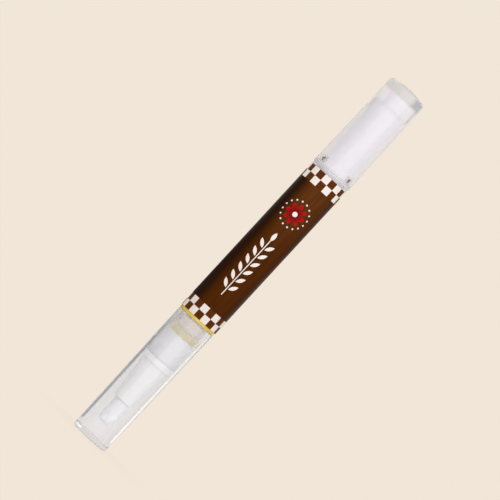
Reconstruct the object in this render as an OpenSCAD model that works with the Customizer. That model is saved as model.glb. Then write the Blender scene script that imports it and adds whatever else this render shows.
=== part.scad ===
// Twist-up nail oil pen, capped. It stands on the cap's flat end, with the turning knob at the top.
// The origin is the centre of the cap's flat end, and +Z runs along the pen to the knob.

/* [Cap] */
// Free space between the brush guard's nose and the cap's end wall
cap_room = 4.7; // [4.4:0.1:12]
// Wall of the cap's tube
cap_wall = 0.7; // [0.5:0.05:0.9]
// Wall of the cap's closed end
cap_end_wall = 1.3; // [0.8:0.1:2.5]
// How much narrower the closed end is than the mouth, in diameter
cap_draft = 0.5; // [0:0.05:1]
// Rounding of the closed end's outer edge
cap_edge_r = 0.5; // [0.3:0.05:1.2]

/* [Barrel] */
// Outer diameter of the barrel
barrel_d = 12.6; // [11:0.1:18]
// Wall of the barrel round the oil
barrel_wall = 1.1; // [0.8:0.05:1.4]
// Length of the barrel from its shoulder to its rear face
body_len = 56.5; // [45:0.5:90]
// Wall between the shoulder and the oil chamber
shoulder_wall = 0.95; // [0.6:0.05:2]
// Bare barrel in front of the label
strip_front = 0.95; // [0.3:0.05:3]
// Bare barrel behind the label
strip_rear = 0.9; // [0.3:0.05:3]
// How far the rear ring stands out from the barrel
ring_lip = 0.3; // [0.1:0.05:0.8]
// Thickness of the rear ring
ring_h = 0.55; // [0.3:0.05:1.5]

/* [Neck] */
// Length of the neck that the cap covers
neck_len = 14.95; // [12:0.05:25]
// Wall of the neck
neck_wall = 0.95; // [0.7:0.05:1.3]
// Width of the snap bead round the neck
bead_w = 1; // [0.6:0.1:2]
// How far the snap bead stands out from the neck
bead_h = 0.16; // [0.05:0.01:0.18]
// Distance from the neck's mouth to the middle of the snap bead
bead_from_mouth = 3.8; // [2:0.1:8]

/* [Label] */
// Thickness of the printed sleeve
label_t = 0.12; // [0.05:0.01:0.2]

/* [Nozzle] */
// Length of the nozzle's tapered tube
nozzle_len = 13.75; // [11:0.25:20]
// Outer diameter of the tube at the brush
nozzle_tip_d = 6.35; // [5.5:0.05:8]
// Ledge between the tube's base and the collar's rim
collar_ledge = 0.5; // [0.2:0.05:1]
// Thickness of the collar
collar_h = 1.95; // [1:0.05:3]
// Diameter of the spigot that the plug holds
spigot_d = 5.6; // [4.5:0.1:6.5]
// Length of the spigot behind the collar
spigot_len = 5.5; // [3:0.1:8]

/* [Plug] */
// Length of the plug in the neck
plug_len = 8.6; // [8.4:0.1:11]

/* [Brush] */
// Outer diameter of the guard over the bristles
guard_d = 4.8; // [4:0.1:5.4]
// Wall of the guard
guard_wall = 0.45; // [0.3:0.05:0.6]
// Length of the guard
guard_len = 8; // [6:0.1:12]
// Wall of the ferrule round the bristles' root
ferrule_wall = 0.3; // [0.2:0.05:0.4]
// How far the ferrule stands out of the nozzle
ferrule_nose = 1.4; // [0.8:0.1:3]
// How far the ferrule sits in the nozzle
ferrule_seat = 6; // [4:0.1:8]
// Rings of bristles round the middle one
bristle_rings = 11; // [10:1:12]
// Outer diameter of the feed tube
feed_d = 1.9; // [1.5:0.1:2.2]
// Bore of the feed tube
feed_bore_d = 1.1; // [0.6:0.1:1.2]

/* [Piston] */
// Length of the piston
piston_len = 7.5; // [6:0.1:12]
// Thickness of the piston's front flange
piston_front_h = 1; // [0.6:0.1:1.5]
// Thickness of the piston's rear flange
piston_rear_h = 1.5; // [1:0.1:2]
// Thickness of the seal round the piston's waist
seal_t = 1.1; // [0.7:0.05:1.4]

/* [Screw] */
// Advance of the rod in one turn
thread_lead = 3.3; // [2.4:0.1:4.5]
// Outer diameter of the thread
rod_d = 4.8; // [4.2:0.1:5.2]
// Depth of the thread
thread_depth = 0.7; // [0.4:0.05:0.8]
// Width of the rod across its two flats
rod_flat_w = 3.6; // [3.3:0.1:4]
// Diameter of the rod's head in the piston
rod_head_d = 4.5; // [4.3:0.1:5]
// Thickness of the rod's head
rod_head_h = 1.6; // [1:0.1:2]
// Diameter of the stem between the head and the thread
rod_stem_d = 3.5; // [3:0.1:4]
// Length of the fixed nut
nut_len = 4.8; // [3.5:0.1:8]

/* [Drive] */
// Length of the sleeve's nose in the barrel
nose_len = 5.9; // [5:0.1:10]
// Length of the spigot in front of the nose
drive_spigot_len = 2.35; // [2:0.05:4]
// Diameter of the spigot in front of the nose
drive_spigot_d = 6; // [5.8:0.1:6.4]
// Length of the flat-sided hole that turns the rod
drive_hole_len = 5.1; // [4.2:0.1:8]
// Length of rod still held in that hole at full travel
drive_hold_len = 3.1; // [2:0.1:4]
// Wall of the sleeve inside the knob
sleeve_wall = 1; // [0.7:0.05:1.2]
// Length of the sleeve's narrow core at the knob's end
core_len = 4.3; // [3:0.1:8]
// Wall of the narrow core
core_wall = 0.9; // [0.6:0.05:1.2]
// Diameter of the four windows that lock the knob
window_d = 1.3; // [0.8:0.1:1.6]
// Angle between the windows and the Y axis
window_turn = 58; // [30:1:75]
// Clicks in one turn
click_count = 12; // [8:1:16]
// Depth of the ratchet's teeth
tooth_h = 0.4; // [0.25:0.05:0.5]
// Wall of the ratchet ring behind its teeth
ratchet_wall = 0.75; // [0.5:0.05:1]
// Thickness of the click spring's arms
arm_t = 0.3; // [0.2:0.05:0.35]

/* [Knob] */
// How far the knob's base stands out from the barrel's surface
knob_step = 0.25; // [0:0.025:0.3]
// How much narrower the knob's end is than its base, in diameter
knob_draft = 0.6; // [0:0.05:1]
// Wall of the knob round the sleeve
knob_wall = 1.65; // [1:0.05:1.8]
// Clear wall at the knob's end, up to the rounded edge
knob_end_wall = 2.8; // [1.2:0.05:4]
// Height of the domed end over the rounded edge
knob_dome_h = 0.8; // [0.2:0.05:1]
// Rounding of the knob's end
knob_edge_r = 0.8; // [0.4:0.1:1.2]
// Height of the lip ring at the knob's base
knob_lip_h = 0.5; // [0.3:0.05:1.5]

/* [Hidden] */
$fn = 64;

// Clearances
cut = 0.5;               // overrun of every cut
face_gap = 0.05;         // between flat faces of pieces that move apart
seat_gap = 0.02;         // round a piece that is pressed into its seat
slip_gap = 0.08;         // round a piece that is pushed on by hand
run_gap = 0.1;           // round a piece that turns
lip_gap = 0.05;          // between the seal's lips and the bore
piston_gap = 0.3;        // between the piston's flanges and the bore
flow_gap = 0.03;         // between the oil and what holds it
thread_gap = 0.16;       // between the rod's thread and the nut's
flat_gap = 0.12;         // between the rod's flats and the hole that turns it
neck_gap = 0.2;          // between the neck and the cap
rod_room = 0.25;         // between the rod and the narrow core
cap_step = 0.05;         // how far the cap's mouth lies inside the barrel's surface
small_chamfer = 0.15;    // on edges that hands touch

// Places along the pen
guard_z = cap_end_wall + cap_room;
nozzle_z = guard_z + guard_len;
collar_z = nozzle_z + nozzle_len;
mouth_z = collar_z + collar_h;
shoulder_z = mouth_z + neck_len;
cap_len = shoulder_z - face_gap;
plug_end_z = mouth_z + plug_len;
bore_z = shoulder_z + shoulder_wall;
rear_z = shoulder_z + body_len;
ring_z = rear_z - ring_h;
label_z = shoulder_z + strip_front;
label_len = ring_z - strip_rear - label_z;
nose_z = rear_z - nose_len;
drive_z = nose_z - drive_spigot_len;
nut_room = 0.6;
nut_end_z = drive_z - nut_room;
nut_z = nut_end_z - nut_len;
piston_room = 1;
piston_end_z = nut_z - piston_room;
piston_z = piston_end_z - piston_len;
stop_room = 0.4;
travel = piston_z - bore_z - stop_room;
rod_end_z = drive_z + travel + drive_hold_len;
core_roof = 0.6;
core_end_room = 0.2;
core_end_z = rod_end_z + core_end_room + core_roof;
core_z = core_end_z - core_len;
knob_z = rear_z + face_gap;
knob_edge_z = core_end_z + face_gap + knob_end_wall;
knob_end_z = knob_edge_z + knob_dome_h;

// Radii
barrel_r = barrel_d / 2;
bore_r = barrel_r - barrel_wall;
ring_r = barrel_r + ring_lip;
cap_mouth_r = barrel_r - cap_step;
cap_end_r = cap_mouth_r - cap_draft / 2;
function cap_r(z) = cap_end_r + (cap_mouth_r - cap_end_r) * z / cap_len;
neck_r = cap_r(mouth_z) - cap_wall - neck_gap;
neck_bore_r = neck_r - neck_wall;
collar_step = 0.15;
collar_r = neck_r - collar_step;
nozzle_base_r = collar_r - collar_ledge;
plug_r = neck_bore_r - seat_gap;
guard_bore_r = guard_d / 2 - guard_wall;
ferrule_r = guard_bore_r - slip_gap;
ferrule_bore_r = ferrule_r - ferrule_wall;
tuft_r = ferrule_bore_r - seat_gap;
piston_r = bore_r - piston_gap;
piston_waist_r = piston_r - seal_t;
seal_r = bore_r - lip_gap;
rod_r = rod_d / 2;
knob_r = barrel_r + knob_step;
knob_end_r = knob_r - knob_draft / 2;
sleeve_r = knob_r - knob_wall;
core_r = rod_r + rod_room + core_wall;
nose_r = bore_r - run_gap;

// Points of an arc about a centre, from one angle to another
function arc(centre, r, from, to, steps) =
    [for (i = [0 : steps]) let (a = from + (to - from) * i / steps) centre + r * [cos(a), sin(a)]];

module ring(z, h, outer_r, inner_r) {
    translate([0, 0, z])
        difference() {
            cylinder(r = outer_r, h = h);
            translate([0, 0, -cut])
                cylinder(r = inner_r, h = h + 2 * cut);
        }
}

// The cap is a drafted tube with a flat end and rounded edges inside and out.
module cap() {
    inner_edge_r = cap_edge_r * 0.75;
    inner_mouth_r = cap_mouth_r - cap_wall;
    inner_end_r = cap_r(cap_end_wall) - cap_wall;
    color([0.86, 0.88, 0.88, 0.35])
        rotate_extrude()
            polygon(concat(
                [[0, 0]],
                arc([cap_end_r - cap_edge_r, cap_edge_r], cap_edge_r, -90, 0, 6),
                [[cap_mouth_r, cap_len - small_chamfer],
                 [cap_mouth_r - small_chamfer, cap_len],
                 [inner_mouth_r + small_chamfer, cap_len],
                 [inner_mouth_r, cap_len - small_chamfer]],
                arc([inner_end_r - inner_edge_r, cap_end_wall + inner_edge_r], inner_edge_r, 0, -90, 5),
                [[0, cap_end_wall]]
            ));
}

// The guard is a small cup over the bristles, pushed on the ferrule.
guard_edge_r = guard_d * 0.2;
guard_end_z = nozzle_z - face_gap;
module brush_guard() {
    bore_edge_r = guard_edge_r - guard_wall / 2;
    color([0.8, 0.82, 0.82, 0.4])
        rotate_extrude()
            polygon(concat(
                [[0, guard_z]],
                arc([guard_d / 2 - guard_edge_r, guard_z + guard_edge_r], guard_edge_r, -90, 0, 6),
                [[guard_d / 2, guard_end_z], [guard_bore_r, guard_end_z]],
                arc([guard_bore_r - bore_edge_r, guard_z + guard_wall + bore_edge_r], bore_edge_r, 0, -90, 5),
                [[0, guard_z + guard_wall]]
            ));
}

// The tuft is one closed surface. Its backing is a disc whose face is a mesh of rings, and every
// triangle that stands on an outer ring rises as a three-sided bristle, leaning in to the tip.
tuft_root_depth = 0.2;
tuft_back_t = 1;
tuft_tip_room = 0.35;
tuft_dome = 1;
lean_share = 0.55;
tip_share = 0.22;
tuft_root_z = nozzle_z + tuft_root_depth;
tuft_len = tuft_root_z - guard_z - guard_wall - tuft_tip_room;
function lattice_index(k, i) = k == 0 ? 0 : 1 + 3 * k * (k - 1) + i % (6 * k);
function lattice_point(k, i) =
    k == 0 ? [0, 0] : tuft_r * k / bristle_rings * [cos(60 * i / k), sin(60 * i / k)];
function bristle_feet() =
    [for (k = [1 : bristle_rings]) for (s = [0 : 5]) for (j = [0 : k - 1])
        [[k, s * k + j], [k, s * k + j + 1], [k - 1, s * (k - 1) + j]]];
function bristle_tips(foot) =
    let (corners = [for (c = foot) lattice_point(c[0], c[1])])
    let (middle = (corners[0] + corners[1] + corners[2]) / 3)
    let (height = tuft_len - tuft_dome * pow(norm(middle) / tuft_r, 2))
    [for (c = corners) let (p = middle * lean_share + (c - middle) * tip_share) [p[0], p[1], height]];
module bristles() {
    feet = bristle_feet();
    rim = 6 * bristle_rings;
    rim_points = [for (i = [0 : rim - 1]) lattice_point(bristle_rings, i)];
    lattice = concat([[0, 0, 0]],
        [for (k = [1 : bristle_rings]) for (i = [0 : 6 * k - 1]) [each lattice_point(k, i), 0]]);
    tips = [for (foot = feet) each bristle_tips(foot)];
    back = [for (p = rim_points) [p[0], p[1], -tuft_back_t]];
    first_tip = len(lattice);
    first_back = first_tip + len(tips);
    rising = [for (n = [0 : len(feet) - 1])
        let (f = [for (c = feet[n]) lattice_index(c[0], c[1])], t = first_tip + 3 * n)
        each concat([[t, t + 2, t + 1]],
            [for (m = [0 : 2]) let (o = (m + 1) % 3) each [[f[m], t + m, t + o], [f[m], t + o, f[o]]]])];
    between = [for (k = [2 : bristle_rings]) for (s = [0 : 5]) for (j = [0 : k - 2])
        [lattice_index(k - 1, s * (k - 1) + j), lattice_index(k - 1, s * (k - 1) + j + 1),
         lattice_index(k, s * k + j + 1)]];
    rim_start = lattice_index(bristle_rings, 0);
    side = [for (i = [0 : rim - 1]) let (o = (i + 1) % rim)
        each [[rim_start + i, rim_start + o, first_back + o],
              [rim_start + i, first_back + o, first_back + i]]];
    under = [for (i = [1 : rim - 2]) [first_back, first_back + i, first_back + i + 1]];
    color([0.93, 0.93, 0.9])
        translate([0, 0, tuft_root_z])
            rotate([180, 0, 0])
                polyhedron(points = concat(lattice, tips, back), faces = concat(rising, between, side, under));
}

// The ferrule holds the bristles' root and passes into the nozzle.
module ferrule() {
    color([0.9, 0.9, 0.88])
        ring(nozzle_z - ferrule_nose, ferrule_nose + ferrule_seat, ferrule_r, ferrule_bore_r);
}

// The feed tube runs from the oil to the back of the bristles.
module feed_tube() {
    feed_z = tuft_root_z + tuft_back_t + face_gap;
    color([0.85, 0.85, 0.85])
        ring(feed_z, plug_end_z - feed_z, feed_d / 2, feed_bore_d / 2);
}

// The nozzle is a tapered tube, a collar that closes the neck, and a spigot in the plug.
module nozzle() {
    tip_edge = 0.2;
    collar_edge = 0.12;
    spigot_end_z = mouth_z + spigot_len;
    seat_end_z = nozzle_z + ferrule_seat + face_gap;
    seat_r = ferrule_r + seat_gap;
    feed_r = feed_d / 2 + seat_gap;
    color("white")
        rotate_extrude()
            polygon([
                [seat_r, nozzle_z],
                [nozzle_tip_d / 2 - tip_edge, nozzle_z],
                [nozzle_tip_d / 2, nozzle_z + tip_edge],
                [nozzle_base_r, collar_z],
                [collar_r - collar_edge, collar_z],
                [collar_r, collar_z + collar_edge],
                [collar_r, mouth_z - 2 * collar_edge],
                [collar_r - 2 * collar_edge, mouth_z],
                [spigot_d / 2, mouth_z],
                [spigot_d / 2, spigot_end_z - tip_edge],
                [spigot_d / 2 - tip_edge, spigot_end_z],
                [feed_r, spigot_end_z],
                [feed_r, seat_end_z],
                [seat_r, seat_end_z]
            ]);
}

// The plug fills the neck's mouth. Its front takes the nozzle's spigot and its rear the feed tube.
module neck_plug() {
    plug_edge = 0.3;
    pocket_r = spigot_d / 2 + seat_gap;
    pocket_end_z = mouth_z + spigot_len + face_gap;
    feed_r = feed_d / 2 + seat_gap;
    color([0.87, 0.87, 0.85, 0.7])
        rotate_extrude()
            polygon([
                [pocket_r, mouth_z],
                [plug_r, mouth_z],
                [plug_r, plug_end_z - plug_edge],
                [plug_r - plug_edge, plug_end_z],
                [feed_r, plug_end_z],
                [feed_r, pocket_end_z],
                [pocket_r, pocket_end_z]
            ]);
}

// The barrel is one clear moulding: a neck with a snap bead, the oil chamber and the rear ring.
groove_w = 1.4;
groove_h = 0.25;
groove_from_rear = 1.55;
groove_end_z = rear_z - groove_from_rear;
module barrel() {
    bead_z = mouth_z + bead_from_mouth;
    bead_steps = 6;
    color([0.88, 0.86, 0.8, 0.4])
        rotate_extrude()
            polygon(concat(
                [[neck_bore_r, mouth_z], [neck_r - small_chamfer, mouth_z], [neck_r, mouth_z + small_chamfer]],
                [for (i = [0 : bead_steps])
                    [neck_r + bead_h * sin(180 * i / bead_steps), bead_z + bead_w * (i / bead_steps - 1 / 2)]],
                [[neck_r, shoulder_z],
                 [barrel_r - small_chamfer, shoulder_z],
                 [barrel_r, shoulder_z + small_chamfer],
                 [barrel_r, ring_z],
                 [ring_r, ring_z],
                 [ring_r, rear_z],
                 [bore_r, rear_z],
                 [bore_r, groove_end_z],
                 [bore_r + groove_h, groove_end_z - groove_h],
                 [bore_r + groove_h, groove_end_z - groove_w + groove_h],
                 [bore_r, groove_end_z - groove_w],
                 [bore_r, bore_z],
                 [neck_bore_r, bore_z - (bore_r - neck_bore_r)]]
            ));
}

// The label is a printed sleeve shrunk on the barrel.
module label() {
    color([0.28, 0.13, 0.03])
        ring(label_z, label_len, barrel_r + seat_gap + label_t, barrel_r + seat_gap);
}

// The oil fills the neck and the chamber up to the piston, with one air bubble in the neck.
module oil() {
    oil_neck_r = neck_bore_r - flow_gap;
    oil_r = bore_r - flow_gap;
    bubble_r = (bore_z - plug_end_z) * 0.3;
    bubble_z = plug_end_z + (bore_z - plug_end_z) * 0.6;
    color([0.75, 0.62, 0.2, 0.6])
        difference() {
            rotate_extrude()
                polygon([
                    [0, plug_end_z + flow_gap],
                    [oil_neck_r, plug_end_z + flow_gap],
                    [oil_neck_r, bore_z - (bore_r - neck_bore_r) + flow_gap / 2],
                    [oil_r, bore_z + flow_gap / 2],
                    [oil_r, piston_z - flow_gap],
                    [0, piston_z - flow_gap]
                ]);
            translate([0, -oil_neck_r + bubble_r / 2, bubble_z])
                sphere(r = bubble_r);
        }
}

// The piston has a flange at each end, a waist for its seal and a socket for the rod's head.
socket_r = rod_head_d / 2 + lip_gap;
socket_neck_r = rod_stem_d / 2 + run_gap;
socket_neck_h = 1.2;
socket_h = rod_head_h + 2 * run_gap;
module piston() {
    nose_h = 0.5;
    nose_edge_r = piston_waist_r - nose_h;
    socket_end_z = piston_end_z - socket_neck_h;
    socket_z = socket_end_z - socket_h;
    color([0.95, 0.95, 0.93])
        rotate_extrude()
            polygon([
                [0, piston_z],
                [nose_edge_r, piston_z],
                [piston_r, piston_z + nose_h],
                [piston_r, piston_z + piston_front_h],
                [piston_waist_r, piston_z + piston_front_h],
                [piston_waist_r, piston_end_z - piston_rear_h],
                [piston_r, piston_end_z - piston_rear_h],
                [piston_r, piston_end_z],
                [socket_neck_r, piston_end_z],
                [socket_neck_r, socket_end_z],
                [socket_r, socket_end_z],
                [socket_r, socket_z],
                [0, socket_z]
            ]);
}

// The seal is a soft ring with a lip at each end.
module piston_seal() {
    lip_h = 0.8;
    lip_slope = 0.4;
    seal_z = piston_z + piston_front_h + face_gap;
    seal_end_z = piston_end_z - piston_rear_h - face_gap;
    inner_r = piston_waist_r + seat_gap;
    color([0.35, 0.35, 0.36])
        rotate_extrude()
            polygon([
                [inner_r, seal_z],
                [piston_r, seal_z],
                [seal_r, seal_z + lip_slope],
                [seal_r, seal_z + lip_h],
                [piston_r, seal_z + lip_h + lip_slope],
                [piston_r, seal_end_z - lip_h - lip_slope],
                [seal_r, seal_end_z - lip_h],
                [seal_r, seal_end_z - lip_slope],
                [piston_r, seal_end_z],
                [inner_r, seal_end_z]
            ]);
}

// One closed screw surface between two heights, with points in upright columns. Its section is a
// circle set off the axis, which climbs one lead in a turn, cut to a width by the two flats.
screw_columns = 16;
screw_steps_per_turn = 10;
screw_core_r = rod_r - thread_depth / 2;
function screw_radius(a, grow) =
    let (e = thread_depth / 2, r = screw_core_r + grow)
    e * cos(a) + sqrt(r * r - pow(e * sin(a), 2));
function flat_limit(x, w) = min(max(x, -w / 2), w / 2);
function screw_row(z, grow, w) =
    [for (i = [0 : screw_columns - 1])
        let (a = 360 * i / screw_columns, r = screw_radius(a - 360 * z / thread_lead, grow))
        [flat_limit(r * cos(a), w), r * sin(a), z]];
module screw(from, to, grow, width) {
    rows = ceil((to - from) / thread_lead * screw_steps_per_turn);
    points = [for (k = [0 : rows]) each screw_row(from + (to - from) * k / rows, grow, width)];
    walls = [for (k = [0 : rows - 1]) for (i = [0 : screw_columns - 1])
        let (a = k * screw_columns + i, b = k * screw_columns + (i + 1) % screw_columns)
        each [[a, a + screw_columns, b + screw_columns], [a, b + screw_columns, b]]];
    foot = [for (i = [1 : screw_columns - 2]) [0, i, i + 1]];
    top = rows * screw_columns;
    lid = [for (i = [1 : screw_columns - 2]) [top, top + i + 1, top + i]];
    polyhedron(points = points, faces = concat(walls, foot, lid));
}

// The rod is threaded, has two flats, and ends in a head that the piston holds.
module screw_rod() {
    head_end_z = piston_end_z - socket_neck_h - run_gap;
    head_z = head_end_z - rod_head_h;
    thread_z = piston_end_z + run_gap;
    stem_overlap = 0.3;
    color([0.95, 0.95, 0.95]) {
        translate([0, 0, head_z])
            cylinder(d = rod_head_d, h = rod_head_h);
        translate([0, 0, head_end_z - face_gap])
            cylinder(d = rod_stem_d, h = thread_z - head_end_z + face_gap + stem_overlap);
        screw(thread_z, rod_end_z, 0, rod_flat_w);
    }
}

// The nut is pressed in the barrel, and the rod screws through it.
module thread_nut() {
    color([0.8, 0.82, 0.85])
        difference() {
            translate([0, 0, nut_z])
                cylinder(r = bore_r - seat_gap, h = nut_len);
            screw(nut_z - cut, nut_end_z + cut, thread_gap, barrel_d);
        }
}

// The ratchet ring is pressed in behind the nut. Its saw teeth let the knob turn one way only.
tooth_root_r = bore_r - ratchet_wall;
tooth_tip_r = tooth_root_r - tooth_h;
tooth_pitch = 360 / click_count;
ratchet_z = nut_end_z + face_gap;
ratchet_end_z = nose_z - run_gap * 2;
module ratchet_ring() {
    tooth_land_share = 0.04;
    teeth = [for (i = [0 : click_count - 1]) each [
        tooth_tip_r * [cos(i * tooth_pitch), sin(i * tooth_pitch)],
        tooth_root_r * [cos((i + 1 - tooth_land_share) * tooth_pitch),
                        sin((i + 1 - tooth_land_share) * tooth_pitch)]]];
    color([0.8, 0.82, 0.85])
        translate([0, 0, ratchet_z])
            linear_extrude(ratchet_end_z - ratchet_z)
                difference() {
                    circle(r = bore_r - seat_gap);
                    polygon(teeth);
                }
}

// The click spring sits on the drive sleeve's spigot. Each arm trails outward to a pawl in a tooth.
module click_spring() {
    hub_t = 0.25;
    hub_r = drive_spigot_d / 2 + seat_gap;
    arm_span = 100;
    arm_steps = 8;
    arm_from = tooth_pitch * 0.85 - arm_span;
    arm_in_r = hub_r + hub_t / 3;
    arm_out_r = tooth_tip_r - arm_t - run_gap;
    pawl_span = 9;
    pawl_r = tooth_root_r - run_gap * 1.5;
    spring_z = drive_z + run_gap;
    spring_end_z = nose_z - face_gap;
    arm_line = [for (i = [0 : arm_steps])
        [arm_from + arm_span * i / arm_steps, arm_in_r + (arm_out_r - arm_in_r) * i / arm_steps]];
    arm_points = concat(
        [for (p = arm_line) p[1] * [cos(p[0]), sin(p[0])]],
        [pawl_r * [cos(arm_from + arm_span), sin(arm_from + arm_span)]],
        [for (i = [arm_steps : -1 : 0]) let (p = arm_line[i], back = i == arm_steps ? pawl_span : 0)
            (p[1] + arm_t) * [cos(p[0] - back), sin(p[0] - back)]]
    );
    spring_h = spring_end_z - spring_z;
    color([0.6, 0.65, 0.7])
        difference() {
            union() {
                translate([0, 0, spring_z])
                    cylinder(r = hub_r + hub_t, h = spring_h);
                for (side = [0, 180])
                    translate([0, 0, spring_z])
                        rotate(side)
                            linear_extrude(spring_h)
                                polygon(arm_points);
            }
            translate([0, 0, spring_z - cut])
                cylinder(r = hub_r, h = spring_h + 2 * cut);
        }
}

// The drive sleeve turns in the barrel's rear. Its flat-sided hole turns the rod, its bead snaps
// into the barrel's groove, and its narrow core houses the rod's tail.
window_from_base = 0.9;
window_z = knob_z + knob_lip_h + window_from_base;
sleeve_step_h = 0.6;
module drive_sleeve() {
    bead_out = groove_h - run_gap;
    bead_end_z = groove_end_z - run_gap;
    bead_z = groove_end_z - groove_w + run_gap;
    nose_edge = 0.3;
    core_edge = 0.3;
    core_bore_r = rod_r + rod_room;
    sleeve_bore_r = sleeve_r - sleeve_wall;
    hole_end_z = drive_z + drive_hole_len;
    color([0.97, 0.97, 0.97])
        difference() {
            rotate_extrude()
                polygon([
                    [0, drive_z],
                    [drive_spigot_d / 2, drive_z],
                    [drive_spigot_d / 2, nose_z],
                    [nose_r - nose_edge, nose_z],
                    [nose_r, nose_z + nose_edge],
                    [nose_r, bead_z],
                    [nose_r + bead_out, bead_z + bead_out],
                    [nose_r + bead_out, bead_end_z - bead_out],
                    [nose_r, bead_end_z],
                    [nose_r, rear_z],
                    [sleeve_r, rear_z],
                    [sleeve_r, core_z - sleeve_step_h],
                    [core_r, core_z],
                    [core_r, core_end_z - core_edge],
                    [core_r - core_edge, core_end_z],
                    [0, core_end_z]
                ]);
            translate([0, 0, drive_z - cut])
                linear_extrude(drive_hole_len + 2 * cut)
                    intersection() {
                        circle(r = rod_r + flat_gap);
                        square([rod_flat_w + 2 * flat_gap, rod_d * 2], center = true);
                    }
            rotate_extrude()
                polygon([
                    [0, hole_end_z],
                    [sleeve_bore_r, hole_end_z],
                    [sleeve_bore_r, core_z - 2 * sleeve_step_h],
                    [core_bore_r, core_z - sleeve_step_h],
                    [core_bore_r, core_end_z - core_roof],
                    [0, core_end_z - core_roof]
                ]);
            for (turn = [-window_turn, window_turn])
                translate([0, 0, window_z])
                    rotate([90, 0, turn])
                        cylinder(d = window_d, h = 2 * barrel_d, center = true);
        }
}

// The knob is a thick clear shell with a domed end, pressed on the sleeve. Four pips of it sit in
// the sleeve's windows, so that the two turn together.
module knob_shell() {
    bore_step_r = core_r + seat_gap;
    shell_bore_r = sleeve_r + seat_gap;
    dome_r = (pow(knob_end_r - knob_edge_r, 2) + pow(knob_dome_h, 2)) / (2 * knob_dome_h);
    dome_span = asin((knob_end_r - knob_edge_r) / dome_r);
    pip_r = window_d / 2 - seat_gap;
    pip_len = sleeve_wall * 0.6;
    color([0.86, 0.88, 0.88, 0.35]) {
        rotate_extrude()
            polygon(concat(
                [[shell_bore_r, knob_z],
                 [ring_r, knob_z],
                 [ring_r, knob_z + knob_lip_h - small_chamfer],
                 [ring_r - small_chamfer, knob_z + knob_lip_h],
                 [knob_r, knob_z + knob_lip_h]],
                arc([knob_end_r - knob_edge_r, knob_edge_z - knob_edge_r], knob_edge_r, 0, 80, 6),
                arc([0, knob_end_z - dome_r], dome_r, 90 - dome_span, 90, 6),
                [[0, core_end_z + face_gap],
                 [bore_step_r, core_end_z + face_gap],
                 [bore_step_r, core_z + face_gap],
                 [shell_bore_r, core_z - sleeve_step_h + face_gap]]
            ));
        for (side = [0, 180])
            for (turn = [-window_turn, window_turn])
                rotate(side + turn)
                    translate([0, shell_bore_r + seat_gap - pip_len / 2, window_z])
                        rotate([90, 0, 0])
                            cylinder(r = pip_r, h = pip_len, center = true);
    }
}

cap();
brush_guard();
bristles();
ferrule();
feed_tube();
nozzle();
neck_plug();
barrel();
label();
oil();
piston();
piston_seal();
screw_rod();
thread_nut();
ratchet_ring();
click_spring();
drive_sleeve();
knob_shell();
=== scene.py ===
"""Looks of a twist-up nail oil pen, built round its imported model.

The pen stands on its cap, with its axis on Z. Sizes here are millimetres, and a mesh is scaled to
metres when it is made. A profile is a list of (radius, height) or (radius, height, edge radius).
"""
import math
import random

import bmesh
import bpy
from mathutils import Matrix, Vector


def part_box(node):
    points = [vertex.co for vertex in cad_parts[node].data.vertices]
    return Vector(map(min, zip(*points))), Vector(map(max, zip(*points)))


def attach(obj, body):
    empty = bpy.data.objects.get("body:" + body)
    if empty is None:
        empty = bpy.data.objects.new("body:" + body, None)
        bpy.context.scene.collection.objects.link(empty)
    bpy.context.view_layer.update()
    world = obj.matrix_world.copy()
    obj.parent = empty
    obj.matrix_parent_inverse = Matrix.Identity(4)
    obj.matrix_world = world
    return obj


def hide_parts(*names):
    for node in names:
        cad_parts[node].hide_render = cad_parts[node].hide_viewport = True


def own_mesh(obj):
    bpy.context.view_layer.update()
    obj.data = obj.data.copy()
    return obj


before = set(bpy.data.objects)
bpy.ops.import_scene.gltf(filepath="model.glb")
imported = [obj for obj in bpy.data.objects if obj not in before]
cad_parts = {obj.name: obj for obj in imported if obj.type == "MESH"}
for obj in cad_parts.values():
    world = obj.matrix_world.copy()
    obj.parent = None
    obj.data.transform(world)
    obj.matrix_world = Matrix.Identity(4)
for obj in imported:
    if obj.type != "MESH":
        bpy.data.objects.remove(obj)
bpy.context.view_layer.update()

MM = 0.001


# ---------------------------------------------------------------- sizes

def round_node(node):
    """A round node's radius, lowest point and highest point, in millimetres."""
    low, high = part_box(node)
    return high.x / MM, low.z / MM, high.z / MM


cap_r, cap_z, cap_end_z = round_node("cap")
guard_r, guard_z, guard_end_z = round_node("brush_guard")
tuft_r, tuft_z, tuft_end_z = round_node("bristles")
collar_r, nozzle_z, spigot_end_z = round_node("nozzle")
_, mouth_z, plug_end_z = round_node("neck_plug")
ring_r, _, rear_z = round_node("barrel")
label_r, label_z, label_end_z = round_node("label")
oil_r, oil_z, oil_end_z = round_node("oil")
_, knob_z, knob_end_z = round_node("knob_shell")
_, _, core_end_z = round_node("drive_sleeve")

# Cap
cap_draft = 0.25
cap_wall = 0.7
cap_end_wall = 1.3
cap_edge_r = 0.5
cap_inner_edge_r = 0.4
gate_r = 0.9
gate_depth = 0.12

# Guard and brush
guard_wall = 0.45
guard_edge_r = 0.96
tuft_back_t = 1.0
strand_count = 560
strand_rings = 7
strand_sides = 4
strand_root_r = 0.055
strand_tip_r = 0.02
strand_sunk = 0.1
strand_bow = 0.14
tuft_tip_gap = 0.02
drawn_in_share, drawn_in_spread = 0.42, 0.05
outer_loss, loss_spread = 1.1, 0.15

# Nozzle and plug
nozzle_tip_r = 3.175
nozzle_base_r = 4.616
collar_z = 27.75
spigot_r = 2.8
seat_r = 1.89
seat_end_z = 20.05
feed_r = 0.97
pocket_r = 2.82
pocket_gap = 0.05

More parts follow.
